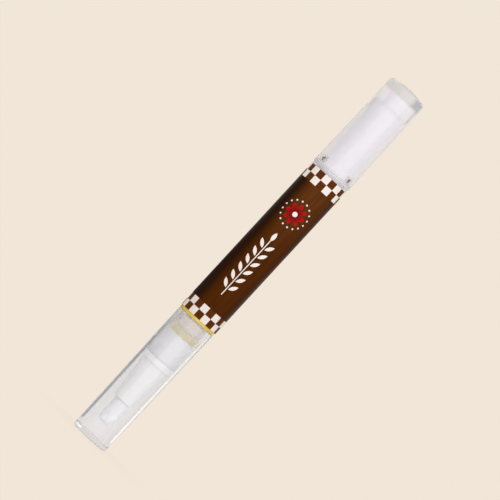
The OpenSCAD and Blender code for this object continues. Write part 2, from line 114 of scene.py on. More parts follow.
# Barrel
barrel_r = 6.3
bore_r = 5.2
neck_r = 5.266
neck_bore_r = 4.316
shoulder_z = 44.65
bore_z = label_z
bore_cone_z = bore_z - (bore_r - neck_bore_r)
bead_z = 33.5
bead_w = 1.0
bead_h = 0.16
bead_steps = 10
ring_h = 0.55
ring_z = rear_z - ring_h
groove_end_z = 99.6
groove_w = 1.4
groove_h = 0.25

# Label
label_t = 0.1
label_edge = 0.03
overlap_t = 0.035
overlap_w = 4.0
checker_w = 2.25
checkers_round = 18
front_checker_turn = 3.8
rear_checker_turn = 9.0
sprig_z, sprig_end_z = 57.0, 75.0
stem_z, stem_end_z = sprig_z - 2, sprig_end_z + 0.6
stem_half_w = 0.14
leaf_step = 3.0
leaf_lean = 40
leaf_aside = 1.45
leaf_half_len, leaf_half_w = 1.5, 0.55
bud_half_len, bud_half_w = 1.5, 0.6
bud_z = sprig_end_z + 1.8
rosette_z = 85.5
petal_len = 3.3
petal_pairs = 4
eye_r = 0.75
dot_ring_r = 4.2
dot_r = 0.26458
dot_count = 16

# Oil
film_gap = 0.03
bubble_r = 4.08
bubble_z = 40.2
bubble_end_z = 44.1
bubble_edge_r = 1.35
neck_oil_r = neck_bore_r - film_gap
neck_oil_end_z = 44.36
shoulder_oil_z = 44.38
chamber_oil_z = bore_z + 0.01

# Knob
knob_lip_h = 0.5
knob_lip_chamfer = 0.15
knob_r = 6.55
knob_top_r = 6.25
knob_edge_r = 0.8
knob_edge_z = 132.65
knob_bore_r = 4.92
dome_steps = 12
core_bore_r = 3.57
core_z = 125.5
core_step_z = 124.9
core_gap = 0.05
pip_r = 0.63
pip_z = 102.6
pip_len = 0.6
pip_turn = 58
pip_sunk = 0.1

# How far a clear piece and what is pressed into it overlap, so that no air shows between them
contact = 0.03

# Fineness of the meshes
turn_steps = 128
fillet_steps = 6
sharp_deg = 30


# ---------------------------------------------------------------- meshes

def rounded(corners, closed):
    """The points of a profile, with an arc at each corner that has an edge radius."""
    points = []
    count = len(corners)
    for i, corner in enumerate(corners):
        here = Vector(corner[:2])
        radius = corner[2] if len(corner) > 2 else 0
        at_end = not closed and i in (0, count - 1)
        if at_end or not radius:
            points.append(here)
            continue
        before = (Vector(corners[i - 1][:2]) - here).normalized()
        after = (Vector(corners[(i + 1) % count][:2]) - here).normalized()
        half = before.angle(after) / 2
        reach = radius / math.tan(half)
        centre = here + (before + after).normalized() * radius / math.sin(half)
        start, end = here + before * reach - centre, here + after * reach - centre
        turn = math.pi - 2 * half
        for k in range(fillet_steps + 1):
            share = k / fillet_steps
            weight_a = math.sin((1 - share) * turn) / math.sin(turn)
            weight_b = math.sin(share * turn) / math.sin(turn)
            points.append(centre + start * weight_a + end * weight_b)
    return points


def new_piece(name, bm, smooth_deg=sharp_deg, hollow=()):
    """An object of a finished bmesh, in metres. Edges sharper than an angle stay sharp, and hollow
    faces look inward."""
    bmesh.ops.recalc_face_normals(bm, faces=bm.faces)
    bmesh.ops.reverse_faces(bm, faces=list(hollow))
    bmesh.ops.scale(bm, vec=(MM, MM, MM), verts=bm.verts)
    mesh = bpy.data.meshes.new(name)
    bm.to_mesh(mesh)
    bm.free()
    mesh.shade_smooth()
    mesh.set_sharp_from_angle(angle=math.radians(smooth_deg))
    piece = bpy.data.objects.new(name, mesh)
    bpy.context.scene.collection.objects.link(piece)
    return piece


def turned(bm, corners, closed=False, steps=turn_steps):
    """Adds the solid that a profile sweeps about Z. An open profile starts and ends on the axis."""
    rings = []
    for r, z in rounded(corners, closed):
        if r < 1e-6:
            rings.append([bm.verts.new((0, 0, z))])
            continue
        turns = [2 * math.pi * i / steps for i in range(steps)]
        rings.append([bm.verts.new((r * math.cos(a), r * math.sin(a), z)) for a in turns])
    pairs = list(zip(rings, rings[1:]))
    if closed:
        pairs.append((rings[-1], rings[0]))
    for lower, upper in pairs:
        for i in range(steps):
            k = (i + 1) % steps
            if len(lower) == 1 and len(upper) == 1:
                break
            if len(lower) == 1:
                bm.faces.new((lower[0], upper[i], upper[k]))
            elif len(upper) == 1:
                bm.faces.new((lower[i], lower[k], upper[0]))
            else:
                bm.faces.new((lower[i], lower[k], upper[k], upper[i]))


def turned_piece(name, corners, closed=False):
    """An object of one turned solid."""
    bm = bmesh.new()
    turned(bm, corners, closed)
    return new_piece(name, bm)


def grow(piece, other):
    """Joins another solid to a piece as one surface, and deletes the other."""
    join = piece.modifiers.new("join", "BOOLEAN")
    join.operation = "UNION"
    join.object = other
    bpy.context.view_layer.update()
    evaluated = piece.evaluated_get(bpy.context.evaluated_depsgraph_get())
    joined = bpy.data.meshes.new_from_object(evaluated)
    piece.modifiers.clear()
    piece.data = joined
    bpy.data.objects.remove(other)
    joined.shade_smooth()
    joined.set_sharp_from_angle(angle=math.radians(sharp_deg))


def finish_piece(piece, body, slot, material, *nodes):
    """Gives a piece its material and its body, and hides the nodes that it stands for. The slot is
    not used.
    """
    piece.data.materials.append(material)
    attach(piece, body)
    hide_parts(*nodes)


# ---------------------------------------------------------------- shader nodes

def screen(red, green, blue):
    """A colour given as 0 to 255 screen values, as linear light."""
    def linear(value):
        value /= 255
        return value / 12.92 if value <= 0.04045 else ((value + 0.055) / 1.055) ** 2.4
    return (linear(red), linear(green), linear(blue), 1)


class Graph:
    """Adds nodes to a tree. A value may be a number, a colour or another node's output."""

    def __init__(self, tree):
        self.tree = tree
        tree.nodes.clear()

    def add(self, kind, values=None, **settings):
        node = self.tree.nodes.new(kind)
        for name, value in settings.items():
            setattr(node, name, value)
        for name, value in (values or {}).items():
            self.put(node.inputs[name], value)
        return node

    def put(self, socket, value):
        if isinstance(value, bpy.types.NodeSocket):
            self.tree.links.new(value, socket)
        else:
            socket.default_value = value

    def math(self, operation, *values):
        return self.add("ShaderNodeMath", dict(enumerate(values)), operation=operation).outputs[0]

    def plus(self, first, second):
        return self.math("ADD", first, second)

    def minus(self, first, second):
        return self.math("SUBTRACT", first, second)

    def times(self, first, second):
        return self.math("MULTIPLY", first, second)

    def size_of(self, value):
        return self.math("ABSOLUTE", value)

    def length(self, first, second):
        """The length of a vector with two parts at right angles."""
        return self.math("SQRT", self.plus(self.times(first, first), self.times(second, second)))

    def all_of(self, *masks):
        out = masks[0]
        for mask in masks[1:]:
            out = self.times(out, mask)
        return out

    def any_of(self, *masks):
        out = masks[0]
        for mask in masks[1:]:
            out = self.math("MAXIMUM", out, mask)
        return out

    def below(self, value, limit):
        return self.math("LESS_THAN", value, limit)

    def above(self, value, limit):
        return self.math("GREATER_THAN", value, limit)

    def mix(self, share, first, second):
        node = self.add("ShaderNodeMix", {0: share, 6: first, 7: second}, data_type="RGBA")
        return node.outputs[2]

    def blend(self, share, first, second):
        """Two shaders in one."""
        return self.add("ShaderNodeMixShader", {0: share, 1: first, 2: second}).outputs[0]

    def ramp(self, value, low, high, to_low=0.0, to_high=1.0):
        """The value's place between two limits, eased and mapped to another pair."""
        limits = {"From Min": low, "From Max": high, "To Min": to_low, "To Max": to_high}
        node = self.add(
            "ShaderNodeMapRange", {"Value": value, **limits}, interpolation_type="SMOOTHSTEP",
        )
        return node.outputs[0]

    def band(self, value, start, full, full_end, end):
        """1 between the two middle limits, easing to 0 at the outer ones."""
        return self.all_of(self.ramp(value, start, full), self.ramp(value, end, full_end))

    def noise(self, stretch, detail=2.0, roughness=0.5):
        """Noise on the piece, about one wave a millimetre where the stretch is 1."""
        values = {"Vector": self.place(stretch), "Scale": 1.0}
        values.update({"Detail": detail, "Roughness": roughness})
        return self.add("ShaderNodeTexNoise", values).outputs[0]

    def place(self, stretch=(1, 1, 1)):
        """The point on the piece in millimetres, stretched along each axis."""
        point = self.add("ShaderNodeTexCoord").outputs["Object"]
        values = {"Vector": point, "Scale": [s / MM for s in stretch]}
        return self.add("ShaderNodeMapping", values).outputs[0]

    def parts(self, vector):
        """A vector's three parts."""
        return self.add("ShaderNodeSeparateXYZ", {0: vector}).outputs

    def round_place(self):
        """Angle from the photographed side in degrees, and height in millimetres."""
        x, y, z = self.parts(self.place())
        return self.math("DEGREES", self.math("ARCTAN2", x, self.times(y, -1.0))), z

    def from_axis(self):
        """Distance from the pen's axis in millimetres."""
        x, y, _ = self.parts(self.place())
        return self.length(x, y)

    def bump(self, height, strength, distance):
        values = {"Height": height, "Strength": strength, "Distance": distance * MM}
        return self.add("ShaderNodeBump", values).outputs[0]

    def finish(self, surface, volume=None):
        out = self.add("ShaderNodeOutputMaterial")
        self.put(out.inputs["Surface"], surface)
        if volume is not None:
            self.put(out.inputs["Volume"], volume)


def new_material(name):
    material = bpy.data.materials.new(name)
    material.use_nodes = True
    return material, Graph(material.node_tree)


# ---------------------------------------------------------------- plastics

clear_ior = 1.5
clear_roughness = 0.03
clear_shade = (0.97, 0.97, 0.98, 1)
smoke_colour = (0.1, 0.1, 0.16, 1)
# The dark colour of painted shade, for places that hardly any light reaches
painted_shade_colour = screen(70, 70, 74)
parting_half_deg = 0.5


def from_sides(g, angle):
    """Degrees from the nearer of the pen's two sides, which lie square to its front and back."""
    return g.size_of(g.minus(g.size_of(angle), 90.0))


def parting_line(g, angle):
    """1 on the two lines where the halves of the mould met."""
    return g.below(from_sides(g, angle), parting_half_deg)


def let_lamps_through(g, shader, colour):
    """Glass that light from the lamps passes, so that it reaches what is behind it."""
    shadow_ray = g.add("ShaderNodeLightPath").outputs["Is Shadow Ray"]
    open_way = g.add("ShaderNodeBsdfTransparent", {"Color": colour})
    return g.blend(shadow_ray, shader, open_way.outputs[0])


def absorption(g, colour, density):
    """What a clear body takes out of the light on its way through."""
    values = {"Color": colour, "Density": density}
    return g.add("ShaderNodeVolumeAbsorption", values).outputs[0]


def outer_skin(g, end):
    """1 on the faces that look away from the axis, or out of the end that lies at -Z or +Z."""
    side = g.add("ShaderNodeNewGeometry").outputs
    normal, point = g.parts(side["True Normal"]), g.parts(side["Position"])
    outward = g.plus(g.times(normal[0], point[0]), g.times(normal[1], point[1]))
    outward = g.plus(outward, g.times(normal[2], end * MM))
    turned_round = g.minus(1.0, g.times(side["Backfacing"], 2.0))
    return g.above(g.times(outward, turned_round), 0.0)


def clear_plastic(name, tint, haze, smoke, end=-1, roughness=clear_roughness, shade=clear_shade,
                  tint_at=None, haze_at=None):
    """Clear moulded plastic with a haze on its outer skin, fine scuffs along the pen and parting
    lines. It darkens with the length of the light's way through it. Shade is what it leaves of the
    lamps' light, and tint_at and haze_at change the tint and the haze from place to place."""
    material, g = new_material(name)
    angle, z = g.round_place()
    scuffs = g.noise((3, 3, 0.3), detail=3.0, roughness=0.6)
    height = g.plus(g.times(scuffs, 0.1), parting_line(g, angle))
    tint = tint if tint_at is None else tint_at(g, z, tint)
    haze = haze if haze_at is None else haze_at(g, z, haze)
    glass = g.add("ShaderNodeBsdfPrincipled", {
        "Base Color": tint,
        "Roughness": g.ramp(scuffs, 0.35, 0.75, roughness, roughness * 2),
        "Normal": g.bump(height, 0.1, 0.01),
        "Transmission Weight": g.minus(1.0, g.times(outer_skin(g, end), haze)),
        "IOR": clear_ior,
    })
    surface = let_lamps_through(g, glass.outputs[0], shade)
    g.finish(surface, absorption(g, smoke_colour, smoke))
    return material


def plain_plastic(name, colour, second, roughness, grain=1.0, bump=0.1, subsurface=0.0,
                  lamps=None, shaded=None):
    """Moulded plastic with slight clouds of a second colour, a fine skin and parting lines. Lamps
    is the colour of their light behind a piece that lets some of it pass, and shaded is a mask of
    the places that hardly any light reaches, where shade is painted into the colour."""
    material, g = new_material(name)
    angle, z = g.round_place()
    clouds = g.noise((0.3, 0.3, 0.2))
    skin = g.noise((8 * grain, 8 * grain, 8 * grain), detail=3.0)
    height = g.plus(skin, parting_line(g, angle))
    colour = g.mix(g.ramp(clouds, 0.35, 0.65), colour, second)
    # Painted shade: the masked places take the dark colour
    if shaded is not None:
        colour = g.mix(shaded(g, z), colour, painted_shade_colour)
    solid = g.add("ShaderNodeBsdfPrincipled", {
        "Base Color": colour,
        "Roughness": g.ramp(skin, 0.3, 0.7, roughness, roughness * 1.25),
        "Normal": g.bump(height, bump, 0.03),
    })
    if subsurface:
        solid.inputs["Subsurface Weight"].default_value = subsurface
        solid.inputs["Subsurface Radius"].default_value = (1, 1, 1)
        solid.inputs["Subsurface Scale"].default_value = 1.2 * MM
    surface = solid.outputs[0]
    g.finish(surface if lamps is None else let_lamps_through(g, surface, lamps))
    return material


# ---------------------------------------------------------------- cap, guard and brush

# The cap's closed end is clearer and cooler than its tube. The change lies between two heights.
end_fade = (1.0, 1.5)
end_haze = 0.1
end_tint = (0.91, 0.95, 1.0, 1)


def cooler_end(g, z, tint):
    return g.mix(g.ramp(z, *end_fade), end_tint, tint)


def clearer_end(g, z, haze):
    return g.ramp(z, *end_fade, end_haze, haze)


cap_clear = turned_piece("cap_clear", [
    (0, cap_z + gate_depth),
    (gate_r, cap_z + gate_depth, 0.05),
    (gate_r + gate_depth, cap_z, 0.05),
    (cap_r - cap_draft, cap_z, cap_edge_r),
    (cap_r, cap_end_z, 0.2),
    (cap_r - cap_wall, cap_end_z, 0.2),
    (cap_r - cap_draft - cap_wall, cap_z + cap_end_wall, cap_inner_edge_r),
    (0, cap_z + cap_end_wall),
])
cap_plastic = clear_plastic(
    "cap_plastic", tint=(0.94, 0.958, 1.0, 1), haze=0.23, smoke=14.0,
    tint_at=cooler_end, haze_at=clearer_end,
)
finish_piece(cap_clear, "cap_body", "clear_shell", cap_plastic, "cap")

guard_clear = turned_piece("guard_clear", [
    (0, guard_z),
    (guard_r, guard_z, guard_edge_r),
    (guard_r, guard_end_z, 0.05),
    (guard_r - guard_wall, guard_end_z, 0.05),
    (guard_r - guard_wall, guard_z + guard_wall, guard_edge_r - guard_wall / 2),
    (0, guard_z + guard_wall),
])
guard_plastic = clear_plastic(
    "guard_plastic", tint=(1, 1, 1, 1), haze=0.55, smoke=10.0, roughness=0.12,
    shade=(0.99, 0.99, 1.0, 1),
)
finish_piece(guard_clear, "guard_body", "clear_guard", guard_plastic, "brush_guard")


def strand(bm, root, tip, bend):
    """One tapered bristle, which bows a little on its way to the tip."""
    turns = [2 * math.pi * i / strand_sides for i in range(strand_sides)]
    rings = []
    for k in range(strand_rings):
        share = k / (strand_rings - 1)
        centre = root.lerp(tip, share) + bend * math.sin(math.pi * share)
        radius = strand_root_r + (strand_tip_r - strand_root_r) * share ** 2
        outward = [Vector((math.cos(a), math.sin(a), 0)) for a in turns]
        rings.append([bm.verts.new(centre + way * radius) for way in outward])
    for lower, upper in zip(rings, rings[1:]):
        for i in range(strand_sides):
            k = (i + 1) % strand_sides
            bm.faces.new((lower[i], lower[k], upper[k], upper[i]))
    bm.faces.new(rings[0])
    bm.faces.new(rings[-1])


def make_tuft():
    """Bristles set in a sunflower pattern on a disc, drawn together at the tip as wet ones are."""
    draw = random.Random(7)
    bm = bmesh.new()
    back_z = tuft_end_z - tuft_back_t
    turned(bm, [
        (0, back_z), (tuft_r, back_z, 0.05), (tuft_r, tuft_end_z, 0.05), (0, tuft_end_z),
    ], steps=48)
    golden = math.pi * (3 - math.sqrt(5))
    reach = tuft_r - strand_root_r * 1.5
    for i in range(strand_count):
        out = math.sqrt((i + 0.5) / strand_count)
        turn = golden * i
        ahead = Vector((math.cos(turn), math.sin(turn), 0))
        root = Vector((
            out * reach * math.cos(turn), out * reach * math.sin(turn), back_z + strand_sunk,
        ))
        drawn_in = drawn_in_share + draw.uniform(-drawn_in_spread, drawn_in_spread)
        loss = outer_loss * out ** 2 + draw.uniform(0, loss_spread)
        tip = Vector((root.x * drawn_in, root.y * drawn_in, tuft_z + tuft_tip_gap + loss))
        strand(bm, root, tip, ahead * strand_bow * out)
    return new_piece("tuft", bm)


bristle_nylon = plain_plastic(
    "bristle_nylon", screen(238, 237, 236), screen(233, 232, 230), 0.35, lamps=(0.7, 0.7, 0.7, 1),
)
finish_piece(make_tuft(), "body", "bristle", bristle_nylon, "bristles")


# ---------------------------------------------------------------- nozzle and plug

nozzle_white = turned_piece("nozzle_white", [
    (seat_r, nozzle_z, 0.08),
    (nozzle_tip_r, nozzle_z, 0.3),
    (nozzle_base_r, collar_z, 0.2),
    (collar_r, collar_z, 0.15),
    (collar_r, mouth_z, 0.25),
    (spigot_r, mouth_z),
    (spigot_r, spigot_end_z, 0.2),
    (feed_r, spigot_end_z),
    (feed_r, seat_end_z),
    (seat_r, seat_end_z),
], closed=True)
nozzle_plastic = plain_plastic(
    "nozzle_plastic", screen(235, 233, 231), screen(233, 231, 228), 0.45, subsurface=0.6,
)
finish_piece(nozzle_white, "body", "white_gloss", nozzle_plastic, "nozzle")

plug_milky = turned_piece("plug_milky", [
    (pocket_r, mouth_z + contact),
    (neck_bore_r + contact, mouth_z + contact, 0.05),
    (neck_bore_r + contact, plug_end_z, 0.3),
    (feed_r, plug_end_z),
    (feed_r, spigot_end_z + pocket_gap),
    (pocket_r, spigot_end_z + pocket_gap),
], closed=True)
plug_plastic = plain_plastic(
    "plug_plastic", screen(241, 238, 234), screen(238, 235, 231), 0.5, subsurface=0.5,
)
finish_piece(plug_milky, "body", "milky_plug", plug_plastic, "neck_plug")


# ---------------------------------------------------------------- barrel

def snap_bead():
    """The points of the low bead round the neck, which the cap snaps over."""
    points = []
    for i in range(bead_steps + 1):
        rise = bead_h * math.sin(math.pi * i / bead_steps)
        points.append((neck_r + rise, bead_z + bead_w * (i / bead_steps - 0.5)))
    return points


barrel_clear = turned_piece("barrel_clear", [
    (neck_bore_r, mouth_z, 0.1),
    (neck_r, mouth_z, 0.15),
    *snap_bead(),
    (neck_r, shoulder_z, 0.12),
    (barrel_r, shoulder_z, 0.2),
    (barrel_r, ring_z, 0.05),
    (ring_r, ring_z, 0.12),
    (ring_r, rear_z, 0.12),
    (bore_r, rear_z, 0.1),
    (bore_r, groove_end_z),
    (bore_r + groove_h, groove_end_z - groove_h),
    (bore_r + groove_h, groove_end_z - groove_w + groove_h),
    (bore_r, groove_end_z - groove_w),
    (bore_r, bore_z, 0.3),
    (neck_bore_r, bore_cone_z, 0.3),
], closed=True)

# Tints of the clear walls, where they are wet with oil
band_tint = (0.9, 0.83, 0.5, 1)
film_tint = (0.98, 0.91, 0.84, 1)
strip_tint, strip_end_tint = (0.9, 0.68, 0.1, 1), (0.85, 0.52, 0.04, 1)
strip_haze = 0.75
ring_haze = 0.45


def in_strip(g, z):
    """1 on the bare strip between the shoulder and the label, with the oil right behind it."""
    return g.band(z, shoulder_z - 0.15, shoulder_z + 0.1, bore_z + 0.4, bore_z + 0.8)


def oily_tint(g, z, tint):
    """Neck and shoulder take the oil's colour, because the oil lies against their walls."""
    in_band = g.band(z, oil_z - 0.2, oil_z + 0.2, bubble_z - 0.1, bubble_z + 0.5)
    in_film = g.all_of(g.above(z, bubble_z), g.below(z, shoulder_z))
    colour = g.mix(in_band, tint, band_tint)
    colour = g.mix(in_film, colour, film_tint)
    deep = g.mix(g.ramp(z, shoulder_z + 0.2, bore_z), strip_tint, strip_end_tint)
    return g.mix(in_strip(g, z), colour, deep)


def oily_haze(g, z, haze):
    """The strip and the rear ring are hazier than the rest."""
    in_ring = g.ramp(z, ring_z - 0.3, ring_z)
    return g.any_of(haze, g.times(in_strip(g, z), strip_haze), g.times(in_ring, ring_haze))


barrel_plastic = clear_plastic(
    "barrel_plastic", tint=(0.95, 0.955, 0.98, 1), haze=0.1, smoke=40.0,
    tint_at=oily_tint, haze_at=oily_haze,
)
finish_piece(barrel_clear, "body", "clear_barrel", barrel_plastic, "barrel")


# ---------------------------------------------------------------- oil

oil_ior = 1.08
oil_shade = (0.95, 0.9, 0.7, 1)


def oil_material(name, tint, clear_share, colour, density):
    """Clear oil, whose colour deepens with the length of the light's way through it."""
    material, g = new_material(name)
    swirl = g.noise((0.4, 0.4, 0.4))
    glass = g.add("ShaderNodeBsdfPrincipled", {
        "Base Color": tint,
        "Roughness": g.ramp(swirl, 0.3, 0.7, 0.0, 0.02),
        "Transmission Weight": clear_share,
        "IOR": oil_ior,
    })
    surface = let_lamps_through(g, glass.outputs[0], oil_shade)
    g.finish(surface, absorption(g, colour, density))
    return material


def oil_with_bubble():
    """The neck's oil, with the air bubble as a hollow in it."""
    bm = bmesh.new()
    turned(bm, [
        (0, oil_z), (neck_oil_r, oil_z, 0.1), (neck_oil_r, neck_oil_end_z, 0.1),
        (0, neck_oil_end_z),
    ])
    outside = set(bm.faces)
    turned(bm, [
        (0, bubble_z), (bubble_r, bubble_z, bubble_edge_r), (bubble_r, bubble_end_z, bubble_edge_r),
        (0, bubble_end_z),
    ])
    bubble = [face for face in bm.faces if face not in outside]
    return new_piece("oil_in_neck", bm, hollow=bubble)


pale_oil = oil_material("oil_pale", (1, 1, 1, 1), 1.0, (0.77, 0.67, 0.11, 1), 40.0)
deep_oil = oil_material("oil_deep", (0.8, 0.55, 0.1, 1), 0.55, (0.8, 0.6, 0.05, 1), 60.0)

finish_piece(oil_with_bubble(), "body", "oil_fluid", pale_oil, "oil")

oil_in_shoulder = turned_piece("oil_in_shoulder", [
    (0, shoulder_oil_z),
    (neck_oil_r, shoulder_oil_z),
    (neck_oil_r, bore_cone_z),
    (oil_r, bore_z),
    (0, bore_z),
])
finish_piece(oil_in_shoulder, "body", "oil_fluid", deep_oil, "oil")

oil_in_chamber = turned_piece("oil_in_chamber", [
    (0, chamber_oil_z), (oil_r, chamber_oil_z), (oil_r, oil_end_z), (0, oil_end_z),
])
finish_piece(oil_in_chamber, "body", "oil_fluid", deep_oil, "oil")
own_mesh(oil_in_chamber)


# ---------------------------------------------------------------- label

cream = screen(243, 233, 225)
brown = screen(82, 39, 3)
# Painted light: a lighter brown that the rear of the label takes
rear_lit_brown = screen(95, 50, 15)
check_brown = screen(92, 46, 10)
streak_brown = screen(45, 20, 2)
# A near black brown of painted shade on the label's two sides
side_shade_brown = screen(34, 12, 0)
petal_red, petal_root_red = screen(190, 12, 20), screen(120, 4, 12)
# Heights over which the painted light towards the rear rises
rear_brown_z = (70.0, 95.0)
streak_share = 0.3

# Painted shade: the brown is lightest at this angle and at the one opposite, and darkest at right
# angles to them
painted_light_turn = 8.0


def checks(g, angle, depth, turn, odd):
    """1 on every other field of two rows of checks, the depth being counted from the edge."""
    step = 360 / checkers_round
    count = g.math("FLOOR", g.math("DIVIDE", g.minus(angle, turn), step))
    column = g.math("FLOOR", g.math("DIVIDE", depth, checker_w))
    total = g.plus(g.plus(count, column), odd)
    even = g.below(g.math("FLOORED_MODULO", total, 2.0), 0.5)
    return g.all_of(even, g.below(depth, 2 * checker_w))


def leaf(g, along, away, lean_deg, half_len, half_w):
    """1 inside a pointed leaf whose middle is where along and away are zero."""
    c, s = math.cos(math.radians(lean_deg)), math.sin(math.radians(lean_deg))
    a = g.plus(g.times(along, c), g.times(away, s))
    b = g.minus(g.times(away, c), g.times(along, s))
    a = g.math("DIVIDE", a, half_len)
    b = g.math("DIVIDE", g.size_of(b), half_w)
    return g.below(g.plus(g.times(a, a), b), 1.0)


def sprig(g, z, across):
    """1 on a stem along the pen, its pairs of leaves and its bud."""
    aside = g.size_of(across)
    along = g.math("FLOORED_MODULO", g.minus(z, sprig_z), leaf_step)
    along = g.minus(along, leaf_step / 2)
    leaves = leaf(g, along, g.minus(aside, leaf_aside), leaf_lean, leaf_half_len, leaf_half_w)
    leaves = g.all_of(g.above(z, sprig_z), g.below(z, sprig_end_z), leaves)
    stem = g.all_of(g.above(z, stem_z), g.below(z, stem_end_z), g.below(aside, stem_half_w))
    bud = leaf(g, g.minus(z, bud_z), across, 0, bud_half_len, bud_half_w)
    return g.any_of(leaves, stem, bud)


def rosette(g, z, across):
    """The petals of a flower, its eye with a ring of dots, and the distance from its middle."""
    out = g.minus(z, rosette_z)
    radius = g.length(out, across)
    turn = g.math("ARCTAN2", across, out)
    wave = g.size_of(g.math("COSINE", g.times(turn, float(petal_pairs))))
    petals = g.below(radius, g.times(g.math("POWER", wave, 0.5), petal_len))
    dot_step = 2 * math.pi / dot_count
    dot_turn = g.minus(g.math("FLOORED_MODULO", turn, dot_step), dot_step / 2)
    from_dot = g.length(g.times(dot_turn, dot_ring_r), g.minus(radius, dot_ring_r))
    return petals, g.any_of(g.below(radius, eye_r), g.below(from_dot, dot_r)), radius


def brown_ground(g, angle, z):
    """Brown with soft streaks along the pen, lighter towards the rear in painted light and darker
    at two sides in painted shade. Under the checks it is even."""
    streaks = g.noise((1.2, 1.2, 0.05))
    tone = g.math("COSINE", g.times(g.math("RADIANS", g.minus(angle, painted_light_turn)), 2.0))
    tone = g.plus(tone, g.times(g.minus(streaks, 0.5), 0.5))
    checks_w = 2 * checker_w
    field = g.all_of(g.above(z, label_z + checks_w), g.below(z, label_end_z - checks_w))
    # Painted light: the brown grows lighter towards the rear
    colour = g.mix(g.ramp(z, *rear_brown_z), brown, rear_lit_brown)
    colour = g.mix(g.times(g.ramp(streaks, 0.35, 0.65), streak_share), colour, streak_brown)
    # Painted shade: the two sides darken, the one at negative angles most
    dark = g.all_of(g.ramp(tone, 0.75, -0.6), g.ramp(angle, 0.0, 40.0, 1.0, 0.6), field)
    colour = g.mix(dark, colour, side_shade_brown)
    return g.mix(field, check_brown, colour)


def label_print(name):
    """The sleeve's print: checks at both ends, and a sprig and a rosette on brown, which carries
    painted light and shade. The inside is bare."""
    material, g = new_material(name)
    angle, z = g.round_place()
    across = g.times(g.math("RADIANS", angle), label_r)
    front = checks(g, angle, g.minus(z, label_z), front_checker_turn, 0.0)
    rear = checks(g, angle, g.minus(label_end_z, z), rear_checker_turn, 1.0)
    petals, eye_and_dots, radius = rosette(g, z, across)
    reds = g.mix(g.ramp(radius, 0.8, 3.2), petal_root_red, petal_red)
    colour = g.mix(petals, brown_ground(g, angle, z), reds)
    colour = g.mix(g.any_of(front, rear, sprig(g, z, across), eye_and_dots), colour, cream)
    inside = g.below(g.from_axis(), label_r - overlap_t - label_t / 2)
    colour = g.mix(inside, colour, cream)
    grain = g.noise((5, 5, 5), detail=3.0)
    waves = g.noise((0.25, 0.25, 0.05))
    film = g.add("ShaderNodeBsdfPrincipled", {
        "Base Color": colour,
        "Roughness": g.ramp(grain, 0.3, 0.7, 0.34, 0.42),
        "Normal": g.bump(g.plus(grain, g.times(waves, 6.0)), 0.05, 0.05),
        "Specular IOR Level": 0.03,
    })
    g.finish(film.outputs[0])
    return material


def make_label():
    """A sleeve of film, one edge of which laps over the other at the back."""
    bm = bmesh.new()
    inner_r = label_r - overlap_t - label_t
    lap = overlap_w / label_r
    count = turn_steps * 2
    levels = (
        (label_z, label_edge), (label_z + label_edge, 0),
        (label_end_z - label_edge, 0), (label_end_z, label_edge),
    )
    rows = []
    for z, inset in levels:
        outer, inner = [], []
        for i in range(count):
            a = 2 * math.pi * i / count
            past_back = (a - math.pi / 2) % (2 * math.pi)
            step = overlap_t if past_back < lap else 0
            r = label_r - overlap_t + step - inset
            outer.append(bm.verts.new((r * math.cos(a), r * math.sin(a), z)))
            inner.append(bm.verts.new((inner_r * math.cos(a), inner_r * math.sin(a), z)))
        rows.append((outer, inner))
    for (outer, inner), (next_outer, next_inner) in zip(rows, rows[1:]):
        for i in range(count):
            k = (i + 1) % count
            bm.faces.new((outer[i], outer[k], next_outer[k], next_outer[i]))
            bm.faces.new((inner[k], inner[i], next_inner[i], next_inner[k]))
    for outer, inner in (rows[0], rows[-1]):
        for i in range(count):
            k = (i + 1) % count
            bm.faces.new((outer[i], outer[k], inner[k], inner[i]))
    return new_piece("label_sleeve", bm, smooth_deg=50)


finish_piece(make_label(), "body", "label_print", label_print("label_film"), "label")


# ---------------------------------------------------------------- knob

# The knob's end wall is greyer. Its skin is clear where the pips are seen through it, at this turn
# from the front and the back, and the clear spots fade out over these degrees and millimetres.
end_wall_tint = (0.78, 0.785, 0.79, 1)
end_wall_haze = 0.36
over_pips_turn = 47.0
over_pips_deg = (15.0, 11.0)
over_pips_h = (1.3, 0.9)


def knob_dome():
    """The points of the knob's domed end, from its edge to the axis."""
    edge_r, rise = knob_top_r - knob_edge_r, knob_end_z - knob_edge_z
    dome_r = (edge_r ** 2 + rise ** 2) / (2 * rise)
    radii = [(dome_steps - i) / dome_steps * edge_r for i in range(1, dome_steps + 1)]
    return [(r, knob_end_z - dome_r + math.sqrt(dome_r ** 2 - r ** 2)) for r in radii]


def make_pips():
    """Four short pins in the knob's bore, which catch in the windows of the drive sleeve."""
    bm = bmesh.new()
    for turn in (-pip_turn, pip_turn, 180 - pip_turn, 180 + pip_turn):
        before = set(bm.verts)
        turned(bm, [(0, 0), (pip_r, 0, 0.05), (pip_r, pip_len), (0, pip_len)], steps=32)
        pip = [v for v in bm.verts if v not in before]
        outward = Matrix.Rotation(math.radians(turn), 4, "Z") @ Matrix.Rotation(math.pi / 2, 4, "X")
        lay = outward @ Matrix.Translation((0, 0, knob_bore_r + pip_sunk - pip_len))
        bmesh.ops.transform(bm, matrix=Matrix.Translation((0, 0, pip_z)) @ lay, verts=pip)
    return new_piece("pips", bm)


def in_end_wall(g, z):
    """1 in the solid end of the knob, beyond the tip of the drive sleeve."""
    return g.ramp(z, core_end_z - 0.7, core_end_z + 0.3)


def greyer_end(g, z, tint):
    return g.mix(in_end_wall(g, z), tint, end_wall_tint)


def clearer_ends(g, z, haze):
    """The knob is a little clearer in its end wall, and clear over its pips."""
    from_face = g.minus(90.0, from_sides(g, g.round_place()[0]))
    beside = g.size_of(g.minus(from_face, over_pips_turn))
    high = g.size_of(g.minus(z, pip_z))
    over_pips = g.all_of(g.ramp(beside, *over_pips_deg), g.ramp(high, *over_pips_h))
    tube = g.ramp(over_pips, 0.0, 1.0, haze, 0.0)
    return g.minus(tube, g.times(in_end_wall(g, z), haze - end_wall_haze))


